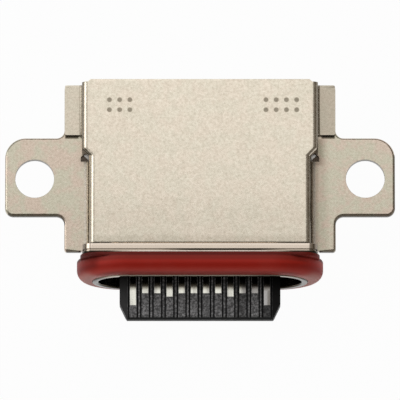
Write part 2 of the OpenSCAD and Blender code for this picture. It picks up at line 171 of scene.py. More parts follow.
class Workpiece:
    """A mesh on the bench, shaped in millimetres by Blender's own operators."""

    def __init__(self, name: str) -> None:
        """Takes the object that was just added, and names it."""
        self.obj = bpy.context.active_object
        self.obj.name = self.obj.data.name = name

    @classmethod
    def block(cls, name: str, low: Triple, high: Triple) -> "Workpiece":
        """Starts from a cube that fills a box, or from a level plane where the box has no height.

        Args:
            name: Name of the piece.
            low: Lowest corner.
            high: Highest corner.

        Returns:
            The new workpiece.
        """
        clear_bench()
        size = Vector(high) - Vector(low)
        add = bpy.ops.mesh.primitive_cube_add if size.z else bpy.ops.mesh.primitive_plane_add
        add(size=1, location=(Vector(low) + Vector(high)) / 2)
        piece = cls(name)
        piece.obj.scale = (size.x, size.y, size.z or 1)
        piece.apply_place()
        return piece

    @classmethod
    def rod(cls, name: str, centre: Triple, radius: float, length: float, sides: int = 96) -> "Workpiece":
        """Starts from an upright cylinder.

        Args:
            name: Name of the piece.
            centre: Middle of the cylinder.
            radius: Its radius.
            length: Its length along Z.
            sides: Number of flat sides.

        Returns:
            The new workpiece.
        """
        clear_bench()
        bpy.ops.mesh.primitive_cylinder_add(vertices=sides, radius=radius, depth=length, location=centre)
        piece = cls(name)
        piece.apply_place()
        return piece

    @classmethod
    def oval(cls, name: str, half_w: float, half_h: float, radius: float, front: float, rear: float,
             steps: int = 20) -> "Workpiece":
        """Starts from a block across Y and rounds its long edges.

        Args:
            name: Name of the piece.
            half_w: Half its width along X.
            half_h: Half its height along Z.
            radius: Radius of its corners, up to half its height.
            front: Its lowest Y.
            rear: Its highest Y.
            steps: Flat steps in each corner.

        Returns:
            The new workpiece.
        """
        piece = cls.block(name, (-half_w, front, -half_h), (half_w, rear, half_h))
        piece.round_edges(along(1), radius, steps)
        piece.merge()
        return piece

    def activate(self) -> None:
        """Makes this the one selected and active object."""
        clear_bench()
        self.obj.select_set(True)
        bpy.context.view_layer.objects.active = self.obj

    def apply_place(self) -> None:
        """Moves the object's place, turn and scale into its mesh."""
        self.activate()
        bpy.ops.object.transform_apply(location=True, rotation=True, scale=True)

    @contextmanager
    def editing(self, pick: Pick, test: EdgeTest | VertTest | None = None) -> Iterator[None]:
        """Opens the mesh for editing.

        Args:
            pick: What is picked.
            test: Says which vertices or edges to take; without it all are.

        Yields:
            Nothing; the mesh closes again on leaving.
        """
        self.activate()
        bpy.ops.object.mode_set(mode="EDIT")
        bpy.ops.mesh.select_mode(type=pick.value)
        bpy.ops.mesh.select_all(action="DESELECT" if test else "SELECT")
        if test:
            mesh = bmesh.from_edit_mesh(self.obj.data)
            chosen = [item for item in (mesh.edges if pick is Pick.EDGE else mesh.verts) if test(item)]
            if not chosen:
                raise ValueError(f"nothing on {self.obj.name} passes the test")
            for item in chosen:
                item.select_set(True)
            if pick is Pick.VERT:
                mesh.select_flush_mode()
            bmesh.update_edit_mesh(self.obj.data)
        yield
        bpy.ops.object.mode_set(mode="OBJECT")

    def draw_out(self, test: EdgeTest, offset: Triple) -> None:
        """Extrudes the edges that pass a test into new faces, as far as the offset."""
        with self.editing(Pick.EDGE, test):
            bpy.ops.mesh.extrude_region_move(TRANSFORM_OT_translate={"value": offset})

    def nudge(self, test: VertTest, offset: Triple) -> None:
        """Moves the vertices that pass a test."""
        with self.editing(Pick.VERT, test):
            bpy.ops.transform.translate(value=offset)

    def level(self, *heights: float) -> None:
        """Brings vertices that lie about at a height exactly onto it, so that faces meet flush.

        Args:
            heights: The heights.
        """
        for height in heights:
            with self.editing(Pick.VERT, lambda v: near(v.co.z, height)):
                bpy.ops.transform.resize(value=(1, 1, 0), center_override=(0, 0, height))

    def round_edges(self, test: EdgeTest, radius: float, steps: int, profile: float = 0.5) -> None:
        """Bevels the edges that pass a test to an arc in flat steps, fuller with a profile above 0.5."""
        with self.editing(Pick.EDGE, test):
            bpy.ops.mesh.bevel(offset=radius, segments=steps, profile=profile, clamp_overlap=False)

    def merge(self, flatten: bool = False) -> None:
        """Merges vertices that lie in one place.

        Args:
            flatten: Dissolve the edges inside flat faces too.
        """
        with self.editing(Pick.VERT):
            bpy.ops.mesh.remove_doubles(threshold=MERGE)
            if flatten:
                bpy.ops.mesh.dissolve_limited(angle_limit=math.radians(FLAT))

    def face_up(self) -> None:
        """Turns the faces of an open sheet the same way, with the largest pointing up."""
        with self.editing(Pick.VERT):
            bpy.ops.mesh.normals_make_consistent(inside=False)
            mesh = bmesh.from_edit_mesh(self.obj.data)
            largest = max(mesh.faces, key=lambda f: f.calc_area())
            if largest.normal.z < 0:
                bpy.ops.mesh.flip_normals()

    def apply(self, kind: str, **settings: Any) -> None:
        """Adds a modifier and applies it.

        Args:
            kind: The modifier's type.
            settings: Its properties.
        """
        self.activate()
        modifier = self.obj.modifiers.new(kind.lower(), kind)
        for key, value in settings.items():
            setattr(modifier, key, value)
        bpy.ops.object.modifier_apply(modifier=modifier.name)

    def thicken(self, thickness: float) -> None:
        """Gives an open sheet its thickness, behind its faces."""
        self.apply("SOLIDIFY", thickness=thickness, offset=-1, use_even_offset=True, use_quality_normals=True)

    def soften(self, radius: float, steps: int) -> None:
        """Rounds every sharp edge by a radius in so many flat steps."""
        self.apply("BEVEL", width=radius, segments=steps, limit_method="ANGLE",
                   angle_limit=math.radians(SHARP), use_clamp_overlap=True)

    def combine(self, tool: "Workpiece", how: Join) -> None:
        """Fuses another workpiece to this one or cuts it out, and uses the other up.

        Args:
            tool: The other workpiece.
            how: Fuse or cut.
        """
        self.apply("BOOLEAN", object=tool.obj, operation=how.value, solver="EXACT")
        mesh = tool.obj.data
        bpy.data.objects.remove(tool.obj)
        bpy.data.meshes.remove(mesh)
        self.merge(flatten=True)

    def settle(self, material: bpy.types.Material, slot: str, *nodes: str) -> None:
        """Shrinks the piece into the frame's metres, dresses it and puts it in place of its nodes.

        Args:
            material: Its material.
            slot: The record's slot that it takes its finish from; not used.
            nodes: The nodes that it stands for.
        """
        self.obj.scale = (MM, MM, MM)
        self.apply_place()
        bpy.ops.object.shade_smooth_by_angle(angle=math.radians(SMOOTH))
        self.apply("WEIGHTED_NORMAL", weight=100, keep_sharp=True)
        self.obj.data.materials.clear()
        self.obj.data.materials.append(material)
        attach(self.obj, BODY)
        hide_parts(*nodes)
        LOG.info("%s: %d faces", self.obj.name, len(self.obj.data.polygons))


def maths(operation: str, flipped: bool = False) -> Callable[..., "Shade"]:
    """Makes a method that works with a Math node.

    Args:
        operation: The node's operation.
        flipped: Whether the other value comes first.

    Returns:
        The method.
    """
    def method(self: "Shade", *others: "Shade | float") -> "Shade":
        """Adds the node."""
        values = (*others, self) if flipped else (self, *others)
        return self.graph.node("ShaderNodeMath", {"operation": operation}, dict(enumerate(values)))

    return method


class Shade:
    """A value in a node tree that takes Python arithmetic.

    Comparisons give 1 or 0, part keeps what follows the decimal point, and most and least take the larger
    and the smaller of two values.
    """

    __add__ = __radd__ = maths("ADD")
    __sub__ = maths("SUBTRACT")
    __rsub__ = maths("SUBTRACT", flipped=True)
    __mul__ = __rmul__ = maths("MULTIPLY")
    __truediv__ = maths("DIVIDE")
    __lt__ = maths("LESS_THAN")
    __gt__ = maths("GREATER_THAN")
    __abs__ = maths("ABSOLUTE")
    root = maths("SQRT")
    part = maths("FRACT")
    most = maths("MAXIMUM")
    least = maths("MINIMUM")

    def __init__(self, graph: "Graph", socket: bpy.types.NodeSocket) -> None:
        """Wraps an output socket of a graph's node."""
        self.graph = graph
        self.socket = socket

    def swing(self, amount: float) -> "Shade":
        """Turns a noise from 0 to 1 into a swing of so much in all about nought."""
        return (self - 0.5) * amount

    def ramp(self, low: float, high: float, to_low: float = 0.0, to_high: float = 1.0) -> "Shade":
        """Maps a range smoothly onto another."""
        inputs = {"Value": self, "From Min": low, "From Max": high, "To Min": to_low, "To Max": to_high}
        return self.graph.node("ShaderNodeMapRange", {"interpolation_type": "SMOOTHSTEP"}, inputs)

    def within(self, low: float, high: float, soft: float) -> "Shade":
        """Gives 1 between two values and 0 outside, with soft edges."""
        return self.ramp(low - soft, low + soft) * self.ramp(high - soft, high + soft, 1.0, 0.0)


Spot = tuple[Shade, Shade, Shade]
Paint = Shade | Colour


class Graph:
    """Builds a node tree."""

    def __init__(self, tree: bpy.types.NodeTree) -> None:
        """Empties a tree to build in."""
        self.tree = tree
        tree.nodes.clear()

    def node(self, kind: str, settings: dict[str, Any] | None = None, inputs: dict[Any, Any] | None = None,
             output: str | int = 0) -> Shade:
        """Adds a node.

        Args:
            kind: The node's type.
            settings: Its properties, which are set first.
            inputs: Values or links of its sockets, by name or index.
            output: The output to return.

        Returns:
            The chosen output.
        """
        node = self.tree.nodes.new(kind)
        for key, value in (settings or {}).items():
            setattr(node, key, value)
        for key, value in (inputs or {}).items():
            if isinstance(value, Shade):
                self.tree.links.new(value.socket, node.inputs[key])
            else:
                node.inputs[key].default_value = value
        return Shade(self, node.outputs[output] if node.outputs else None)

    def place(self, scale: Triple = (1.0, 1.0, 1.0)) -> Shade:
        """Gives the place on the piece in millimetres, with each axis stretched."""
        coords = self.node("ShaderNodeTexCoord", output="Object")
        return self.node("ShaderNodeMapping", None, {"Vector": coords, "Scale": [s / MM for s in scale]})

    def split(self, vector: Shade) -> Spot:
        """Gives the X, Y and Z of a vector."""
        first = self.node("ShaderNodeSeparateXYZ", None, {0: vector})
        return tuple(Shade(self, socket) for socket in first.socket.node.outputs)

    def noise(self, vector: Shade, scale: float, detail: float = 2.0, roughness: float = 0.5) -> Shade:
        """Gives a noise from 0 to 1 with so many features per millimetre, and layers of finer noise."""
        return self.node("ShaderNodeTexNoise", None,
                         {"Vector": vector, "Scale": scale, "Detail": detail, "Roughness": roughness})

    def blend(self, share: Shade | float, first: Paint, second: Paint, how: Mix = Mix.OVER) -> Shade:
        """Mixes a share of a second colour into a first one."""
        a, b = (colour if isinstance(colour, Shade) else (*colour, 1.0) for colour in (first, second))
        return self.node("ShaderNodeMix", {"data_type": "RGBA", "blend_type": how.value},
                         {0: share, 6: a, 7: b}, output=2)

    def shaded(self, colour: Paint, shade: Shade) -> Shade:
        """Makes a colour darker and warmer or lighter and cooler.

        Args:
            colour: The colour.
            shade: What it is multiplied by.

        Returns:
            The new colour.
        """
        tints = [shade, *(shade * (shade * warmth + (1.0 - warmth)) for warmth in WARMTH)]
        grey = self.node("ShaderNodeCombineColor", None, dict(enumerate(tints)))
        return self.blend(1.0, colour, grey, Mix.TIMES)

    def bump(self, height: Shade, depth: float, strength: float) -> Shade:
        """Bends the normal by a height from 0 to 1, for a share of a relief so many millimetres deep."""
        return self.node("ShaderNodeBump", None,
                         {"Height": height, "Distance": depth * MM, "Strength": strength})

    def surface(self, inputs: dict[str, Any]) -> None:
        """Ends the tree in a surface with these values or links."""
        shader = self.node("ShaderNodeBsdfPrincipled", None, inputs)
        self.node("ShaderNodeOutputMaterial", None, {"Surface": shader})


def new_material(name: str) -> tuple[bpy.types.Material, Graph]:
    """Makes an empty material.

    Args:
        name: Name of the material.

    Returns:
        The material and its graph.
    """
    material = bpy.data.materials.new(name)
    material.use_nodes = True
    return material, Graph(material.node_tree)


@dataclass(frozen=True)
class PaintedLightBox:
    """Box with soft edges in which painted shade makes a surface darker, or a painted highlight lighter.

    Distances across X count from the middle plane, on both sides or on one, and may fade further.
    """

    low: Triple
    high: Triple
    level: float
    soft: float = 0.03
    side: Side = Side.BOTH
    fade: float = 0.0

    def factor(self, spot: Spot) -> Shade:
        """Gives the share of light that is left.

        Args:
            spot: The place on the piece in millimetres.

        Returns:
            The factor, 1 outside the box.
        """
        x, y, z = spot
        across = abs(x) if self.side is Side.BOTH else x * self.side.value
        softness = (self.soft + self.fade, self.soft, self.soft)
        bands = zip((across, y, z), self.low, self.high, softness)
        inside = reduce(mul, (value.within(low, high, soft) for value, low, high, soft in bands))
        return 1.0 - inside * (1.0 - self.level)


@dataclass(frozen=True)
class DotMark:
    """Rows of small etched dots on the cover's top."""

    corner: tuple[float, float]
    columns: int
    rows: int
    pitch: float = 0.42
    radius: float = 0.1
    blur: float = 0.025
    depth: float = 0.6
    lowest: float = 1.6

    def dots(self, spot: Spot) -> Shade:
        """Gives 1 on the dots and 0 round them.

        Args:
            spot: The place on the piece in millimetres.

        Returns:
            The mask.
        """
        steps = [(value - start) / self.pitch for value, start in zip(spot, self.corner)]
        counts = zip(steps, (self.columns, self.rows))
        rows = reduce(mul, ((step > 0.0) * (step < count) for step, count in counts))
        across, up = (step.part().swing(self.pitch) for step in steps)
        reach = (across * across + up * up).root()
        dot = reach.ramp(self.radius - self.blur, self.radius + self.blur, 1.0, 0.0)
        return rows * (spot[2] > self.lowest) * dot


@dataclass(frozen=True)
class Finish:
    """What a surface is made of, with boxes of painted light and shade on it."""

    name: str
    colour: Colour
    painted_light_boxes: tuple[PaintedLightBox, ...] = field(default=(), kw_only=True)

    def make(self) -> bpy.types.Material:
        """Builds the material.

        Returns:
            The material.
        """
        material, g = new_material(self.name)
        g.surface(self.paint(g))
        return material

    def paint(self, g: Graph) -> dict[str, Any]:
        """Gives the surface's values or links by socket; each finish has its own."""
        raise NotImplementedError

    def times_painted_light(self, shade: Shade, spot: Spot) -> Shade:
        """Multiplies a shade by every box of painted light and shade."""
        return reduce(mul, (painted_box.factor(spot) for painted_box in self.painted_light_boxes), shade)


@dataclass(frozen=True)
class SatinSheet(Finish):
    """Rolled sheet with satin nickel plating: fine speckle, faint rolling lines and a drift of tint."""

    warm: Colour
    cool: Colour
    drift: float = 0.3
    rough: float = 0.26
    speckle: float = 0.5
    grain: float = 10.0
    patch: float = 1.6
    lines: Triple = (7.0, 0.35, 7.0)
    relief: float = 0.004
    marks: tuple[DotMark, ...] = ()
    # Zone made matt and painted a paler colour as a painted highlight, with the roughness it gains
    matt_with_painted_light: PaintedLightBox | None = None
    painted_highlight_colour: Colour = (0.92, 0.85, 0.76)
    matt_rough: float = 0.3

    def paint(self, g: Graph) -> dict[str, Any]:
        """Lays out speckle, tint, painted light and shade, and dots.

        Args:
            g: The graph to build in.

        Returns:
            Values or links by socket.
        """
        place = g.place()
        spot = g.split(place)
        fine = g.noise(place, self.grain, 3.0, 0.7)
        cloud = g.noise(place, self.patch, 4.0, 0.6)
        rolled = g.noise(g.place(self.lines), 1.0)
        tint = g.blend(cloud.ramp(0.38, 0.62), self.warm, self.cool)
        colour = g.blend(self.drift, self.colour, tint)
        rough = self.rough + fine.swing(0.2) + rolled.swing(0.08)
        # Bends made matt and painted paler: a painted highlight
        if self.matt_with_painted_light is not None:
            left = self.matt_with_painted_light.factor(spot)
            rough = rough + (1.0 - left) * self.matt_rough
            colour = g.blend(left, self.painted_highlight_colour, colour)
        shade = 1.0 + fine.swing(2.0 * self.speckle) + rolled.swing(0.3 * self.speckle)
        shade = self.times_painted_light(shade, spot)
        for mark in self.marks:
            shade = shade * (1.0 - mark.dots(spot) * mark.depth)
        return {"Base Color": g.shaded(colour, shade), "Metallic": 1.0, "Roughness": rough,
                "Normal": g.bump(fine * 0.7 + rolled * 0.3, self.relief, 0.6)}


@dataclass(frozen=True)
class PolishedSteel(Finish):
    """Drawn steel with a bright polish and faint streaks, and painted shade inside a bore and on its rim."""

    rough: float = 0.18
    bore: Triple | None = None
    streaks: Triple = (0.5, 6.0, 6.0)
    grain: float = 14.0
    relief: float = 0.003

    def bored(self, spot: Spot) -> Shade:
        """Gives the painted shade inside the bore and on its rim.

        Args:
            spot: The place on the piece in millimetres.

        Returns:
            The factor, 1 away from the bore.
        """
        half_w, half_h, front = self.bore
        x, y, z = spot
        side = (abs(x) - (half_w - half_h)).most(0.0)
        reach = (side * side + z * z).root()
        inside = reach.ramp(half_h + 0.01, half_h + 0.05, 1.0, 0.0) * y.ramp(front, front + 0.08)
        rim = y.ramp(front + 0.02, front + 0.08, 1.0, 0.0)
        return (1.0 - inside * 0.9) * (1.0 - rim * z.ramp(0.6, 1.4, 0.93, 0.62))

    def paint(self, g: Graph) -> dict[str, Any]:
        """Lays out streaks, painted shade in the bore, and boxes of painted light and shade.

        Args:
            g: The graph to build in.

        Returns:
            Values or links by socket.
        """
        place = g.place()
        spot = g.split(place)
        smear = g.noise(g.place(self.streaks), 1.0, 3.0)
        fine = g.noise(place, self.grain)
        shade = 0.94 + smear * 0.12
        if self.bore is not None:
            shade = shade * self.bored(spot)
        rough = self.rough + smear.swing(0.12) + fine.swing(0.06)
        return {"Base Color": g.shaded(self.colour, self.times_painted_light(shade, spot)), "Metallic": 1.0,
                "Roughness": rough, "Normal": g.bump(smear, self.relief, 0.4)}


@dataclass(frozen=True)
class Silicone(Finish):
    """Soft silicone with a satin skin, a little bloom, a painted sheen, and painted bands of light and shade
    from its seam to its lip.
    """

    bloom: Colour
    painted_sheen: Colour = (0.6, 0.36, 0.31)
    seam: float = -3.5
    crest: float = -3.95
    lip: float = -4.2
    rough: float = 0.48
    gloss: float = 0.18
    patch: float = 1.1
    grain: float = 16.0
    relief: float = 0.004

    def paint(self, g: Graph) -> dict[str, Any]:
        """Lays out bloom, painted sheen, painted bands of light and shade, and boxes of painted light and
        shade.

        Args:
            g: The graph to build in.

        Returns:
            Values or links by socket.
        """
        place = g.place()
        spot = g.split(place)
        _, y, z = spot
        cloud = g.noise(place, self.patch, 3.0)
        grain = g.noise(place, self.grain)
        colour = g.blend(cloud.ramp(0.4, 0.75, 0.0, 0.25), self.colour, self.bloom)
        # Painted sheen: pale on the front of the lip, most at its ends, and a trace behind the crest
        sheen_share = y.ramp(self.lip - 0.06, self.crest, 0.6, 0.0) * z.ramp(0.9, 1.5, 1.0, 0.2)
        sheen_share = sheen_share.most(y.ramp(self.crest + 0.1, self.seam - 0.1, 0.0, 0.06))
        colour = g.blend(sheen_share, colour, self.painted_sheen)
        # Painted bands of light and shade from the seam to the lip
        band = y.ramp(self.seam - 0.12, self.seam, 1.0, 0.4) * y.ramp(self.lip, self.crest, 1.3, 0.92)
        band = band * y.ramp(self.crest, self.crest + 0.22, 0.95, 1.3)
        rough = self.rough + cloud.swing(0.15) + grain.swing(0.1)
        return {"Base Color": g.shaded(colour, self.times_painted_light(band, spot)), "Roughness": rough,
                "Specular IOR Level": self.gloss, "Normal": g.bump(grain, self.relief, 0.5)}


@dataclass(frozen=True)
class MouldedPlastic(Finish):
    """Glass-filled black moulding with a fine grain, and where it has a pitch, paler lanes with painted shade
    in the grooves between them.
    """

    fleck: Colour
    rough: float = 0.5
    gloss: float = 0.15
    pitch: float = 0.0
    tip: float = 0.0
    half_w: float = 2.95
    grain: float = 13.0
    patch: float = 0.9
    relief: float = 0.012

    def lanes(self, share: Shade, spot: Spot) -> Shade:
        """Keeps the flecks to the lanes and the ridges between them, which leaves painted shade in the
        grooves.

        Args:
            share: Share of the flecks.
            spot: The place on the piece in millimetres.

        Returns:
            The share that is left.
        """
        x, y, z = spot
        edge = self.half_w + 0.04
        lane = abs((x / self.pitch).part() - 0.5) * self.pitch
        # Grooves between lanes and ridges get no flecks: painted shade in the grooves
        ridge = lane.ramp(0.145, 0.152, 1.0, 0.0).most(lane.ramp(0.208, 0.215))
        # Flecks only on the top and bottom faces, off the sides and the tip: painted shade on the tip and its
        # bevel
        face = abs(z).ramp(0.24, 0.27) * abs(x).ramp(self.half_w, edge, 1.0, 0.0)
        face = face * y.ramp(self.tip + 0.06, self.tip + 0.1)
        # Sides outside the lanes, paler on the left: painted light
        flank = x.ramp(-self.half_w, self.half_w, 0.12, 0.0) * abs(x).ramp(self.half_w, edge)
        return self.times_painted_light((share * 0.75 + 0.25) * ridge * face + flank, spot)

    def paint(self, g: Graph) -> dict[str, Any]:
        """Lays out grain and lanes.

        Args:
            g: The graph to build in.

        Returns:
            Values or links by socket.
        """
        place = g.place()
        grain = g.noise(place, self.grain, 2.0, 0.7)
        cloud = g.noise(place, self.patch)
        share = grain.ramp(0.4, 0.68)
        if self.pitch > 0.0:
            share = self.lanes(share, g.split(place))
        rough = self.rough + grain.swing(0.3) + cloud.swing(0.1)
        return {"Base Color": g.blend(share, self.colour, self.fleck), "Roughness": rough,
                "Specular IOR Level": self.gloss, "Normal": g.bump(grain, self.relief, 0.7)}


@dataclass(frozen=True)
class Plating(Finish):
    """Pale plating on formed contacts with wipe marks, and painted shade on those at the right."""

    dull_and_shaded: Colour
    rough: float = 0.15
    wipes: Triple = (5.0, 0.8, 5.0)
    grain: float = 18.0
    relief: float = 0.004

    def paint(self, g: Graph) -> dict[str, Any]:
        """Lays out wipe marks, painted shade on the contacts at the right, and boxes of painted light and
        shade.

        Args:
            g: The graph to build in.

        Returns:
            Values or links by socket.
        """
        place = g.place()
        spot = g.split(place)
        wipe = g.noise(g.place(self.wipes), 1.0, 3.0)
        grain = g.noise(place, self.grain)
        # Wipe marks are wear; the rise towards the right is painted shade on the contacts there
        wear_and_shade = (wipe.ramp(0.35, 0.75, 0.0, 0.5) + spot[0].ramp(1.55, 2.0)).least(1.0)
        colour = g.blend(wear_and_shade, self.colour, self.dull_and_shaded)
        for painted_box in self.painted_light_boxes:
            colour = g.shaded(colour, painted_box.factor(spot))
        rough = self.rough + wipe.swing(0.16) + grain.swing(0.08)
        return {"Base Color": colour, "Metallic": 1.0, "Roughness": rough,
                "Normal": g.bump(wipe, self.relief, 0.4)}


COVER_SHEET = SatinSheet(
    "satin_nickel_cover", (0.71, 0.636, 0.523), (0.75, 0.646, 0.533), (0.68, 0.646, 0.523),
    painted_light_boxes=(
        # Painted shade on the feet, deeper on the right one, and in the bend above the left one
        PaintedLightBox((4.9, 1.5, 0.2), (6.0, 4.0, 0.6), 0.84, side=Side.LEFT),
        PaintedLightBox((4.9, 1.5, 0.2), (6.0, 4.0, 0.6), 0.64, side=Side.RIGHT),
        PaintedLightBox((4.84, 1.5, 0.2), (4.97, 4.0, 0.75), 0.75, 0.02, Side.LEFT),
        # Painted shade on the lower folds and walls, at the rear and at the front
        PaintedLightBox((4.78, 0.8, 1.4), (4.9, 4.0, 1.62), 0.3, 0.02),
        PaintedLightBox((4.48, -4.0, 1.4), (4.6, 0.7, 1.62), 0.6, 0.02, Side.LEFT),
        PaintedLightBox((4.47, -4.0, 1.2), (4.62, 0.7, 1.62), 0.3, 0.02, Side.RIGHT),
        # Painted shade on the fold and walls of the jog
        PaintedLightBox((4.42, 0.72, 1.4), (4.95, 1.0, 1.64), 0.25, 0.03, Side.LEFT),
        PaintedLightBox((4.42, 0.7, 0.1), (4.95, 1.03, 1.4), 0.3, 0.03),
        # Painted dark line inside the left fold, a painted reflection
        PaintedLightBox((4.31, -4.0, 1.6), (4.37, 0.7, 2.0), 0.8, 0.015, Side.LEFT),
        PaintedLightBox((4.6, 1.0, 1.6), (4.66, 4.0, 2.0), 0.76, 0.015, Side.LEFT),
        # Painted shade on the plate towards its front edge
        PaintedLightBox((0.0, -4.5, -2.0), (6.0, -1.2, 5.0), 0.95, 0.8),
        PaintedLightBox((0.0, -3.6, 1.3), (4.3, -2.66, 2.2), 0.87, 0.12)),
    marks=(DotMark((-3.93, 2.4), 3, 2), DotMark((2.5, 2.4), 4, 2)))
BRACKET_SHEET = SatinSheet(
    "satin_nickel_bracket", (0.56, 0.49, 0.40), (0.60, 0.48, 0.39), (0.54, 0.52, 0.40), drift=0.7,
    painted_light_boxes=(
        # Painted shadow in front of the feet
        PaintedLightBox((5.0, 1.68, 0.2), (5.55, 1.95, 0.4), 0.18, 0.03),
        # Painted shade on the front and end edges of ears and rails, the rear walls of the screw holes and
        # the relief walls
        PaintedLightBox((5.5, -1.95, -0.2), (7.9, -1.44, 0.27), 0.12, 0.02),
        PaintedLightBox((4.9, -3.2, -0.2), (5.5, -2.92, 0.27), 0.12, 0.02),
        PaintedLightBox((7.9, -1.6, -0.2), (8.2, 1.0, 0.27), 0.2, 0.02, Side.RIGHT),
        PaintedLightBox((5.5, -3.1, -0.2), (5.65, -1.95, 0.27), 0.4, 0.02, Side.RIGHT),
        PaintedLightBox((5.95, 0.1, -0.2), (7.65, 0.85, 0.27), 0.12, 0.02),
        PaintedLightBox((4.4, 0.74, -0.3), (4.95, 1.04, 0.26), 0.25, 0.02),
        # Painted shade on the right shoulder, and painted shadow beside the cover
        PaintedLightBox((4.66, -3.3, -0.6), (4.86, 0.7, 0.6), 0.75, 0.08, Side.RIGHT),
        PaintedLightBox((4.6, -3.3, 0.1), (5.2, 1.7, 0.5), 0.82, 0.05, Side.RIGHT, 0.15),
        PaintedLightBox((4.8, 0.55, 0.1), (5.05, 1.65, 0.5), 0.7, 0.06, Side.RIGHT, 0.1)),
    # Bends of the trough: made matt and painted paler, a painted highlight
    matt_with_painted_light=PaintedLightBox((4.5, -3.1, -0.5), (4.74, 0.7, 0.4), 0.1, 0.04))
SHELL_STEEL = PolishedSteel(
    "polished_shell", (0.62, 0.53, 0.44), bore=(4.17, 1.28, -4.31),
    painted_light_boxes=(
        # Painted shade in the groove round the collar, deepest in its middle on top
        PaintedLightBox((0.0, -3.31, -3.0), (6.0, -3.24, 3.0), 0.55, 0.01),
        PaintedLightBox((-1.2, -3.32, 1.0), (3.1, -3.24, 3.0), 0.1, 0.01, Side.RIGHT, 0.8),
        # Land in front of the groove: a painted highlight in the middle and painted shade at its ends
        PaintedLightBox((0.0, -3.5, 1.0), (2.9, -3.33, 3.0), 1.6, 0.01, fade=0.5),
        PaintedLightBox((3.5, -3.5, 1.0), (5.5, -3.33, 3.0), 0.12, 0.01, fade=0.4),
        # Painted highlight on the rear edge of the collar, painted shade at its ends
        PaintedLightBox((0.0, -3.1, 1.0), (4.6, -2.9, 3.0), 1.15, 0.01),
        PaintedLightBox((4.66, -3.5, -3.0), (5.0, -3.0, 3.0), 0.35, 0.04),
        # Painted highlight on the rim above the mouth
        PaintedLightBox((-2.2, -4.5, 1.1), (4.0, -4.22, 3.0), 1.8, 0.03, Side.LEFT, 0.4)))
PLATE_STEEL = PolishedSteel("bare_plate", (0.60, 0.58, 0.54), rough=0.3)
SEAL_SILICONE = Silicone(
    "red_silicone", (0.47, 0.02, 0.01), (0.5, 0.05, 0.035),
    painted_light_boxes=(
        # Painted shade on the left end, the seam's ends, the band behind the crest and the lower edge
        PaintedLightBox((4.2, -4.05, -3.0), (5.3, -3.3, 3.0), 0.55, 0.2, Side.LEFT),
        PaintedLightBox((3.7, -3.58, 0.5), (5.2, -3.3, 3.0), 0.85, 0.05),
        PaintedLightBox((-1.0, -3.76, 1.5), (4.25, -3.48, 3.0), 0.62, 0.09, fade=0.25),
        PaintedLightBox((-1.0, -4.6, 1.3), (4.0, -4.21, 3.0), 0.62, 0.05, fade=0.3)))
TONGUE_PLASTIC = MouldedPlastic(
    "black_moulding", (0.005, 0.005, 0.005), (0.42, 0.42, 0.43), pitch=0.5, tip=-5.88,
    painted_light_boxes=(
        # Painted shade on two lanes at the right
        PaintedLightBox((2.5, -6.0, 0.0), (2.99, -4.0, 1.0), 0.35, side=Side.RIGHT),
        PaintedLightBox((1.5, -6.0, 0.0), (2.0, -4.0, 1.0), 0.55, side=Side.RIGHT)))
SEALANT_RESIN = MouldedPlastic("dark_resin", (0.02, 0.021, 0.021), (0.04, 0.04, 0.04), rough=0.35)
CONTACT_PLATING = Plating(
    "pale_plating", (0.74, 0.73, 0.65), (0.29, 0.275, 0.26),
    painted_light_boxes=(
        # Painted shadow under the rim; a painted highlight and painted shade on the two halves of the last
        # contact
        PaintedLightBox((0.0, -4.61, -1.0), (3.5, -3.0, 1.0), 0.25, 0.13),
        PaintedLightBox((2.6, -6.0, 0.0), (2.75, -4.7, 1.0), 1.3, 0.04, Side.RIGHT),
        PaintedLightBox((2.78, -6.0, 0.0), (2.95, -4.7, 1.0), 0.65, 0.04, Side.RIGHT)))


